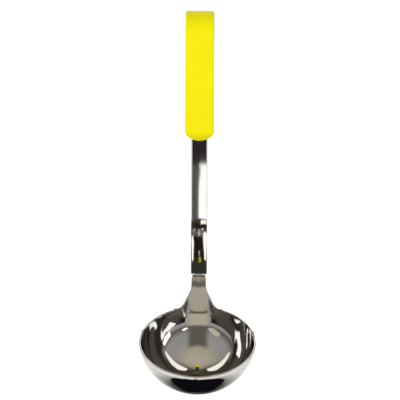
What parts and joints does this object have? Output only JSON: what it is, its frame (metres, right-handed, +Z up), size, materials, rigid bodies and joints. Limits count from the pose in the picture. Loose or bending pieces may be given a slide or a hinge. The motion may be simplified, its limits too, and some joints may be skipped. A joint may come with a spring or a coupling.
{
  "type": "soup ladle",
  "caption": "Soup ladle with a deep polished steel bowl, a flared neck, a flat upright shank and a yellow moulded grip that bends back into a hanging hook",
  "frame": {"origin": "the seat at the top of the gap inside the hook, where the ladle hangs", "axes": "+Z up along the shank, +X across the ladle to the right, +Y back, the way the hook bends; the rim of the bowl is level and opens up"},
  "size_m": [0.096, 0.1381, 0.3105],
  "materials": {
    "bowl_steel": "mirror-polished stainless steel",
    "shank_steel": "mirror-polished stainless steel",
    "weld_steel": "dull weld metal",
    "grip_plastic": "smooth bright yellow plastic"
  },
  "bodies": {
    "root": {"bowl": "bowl_steel", "shank": "shank_steel", "spot_welds": "weld_steel", "grip": "grip_plastic"}
  },
  "joints": []
}
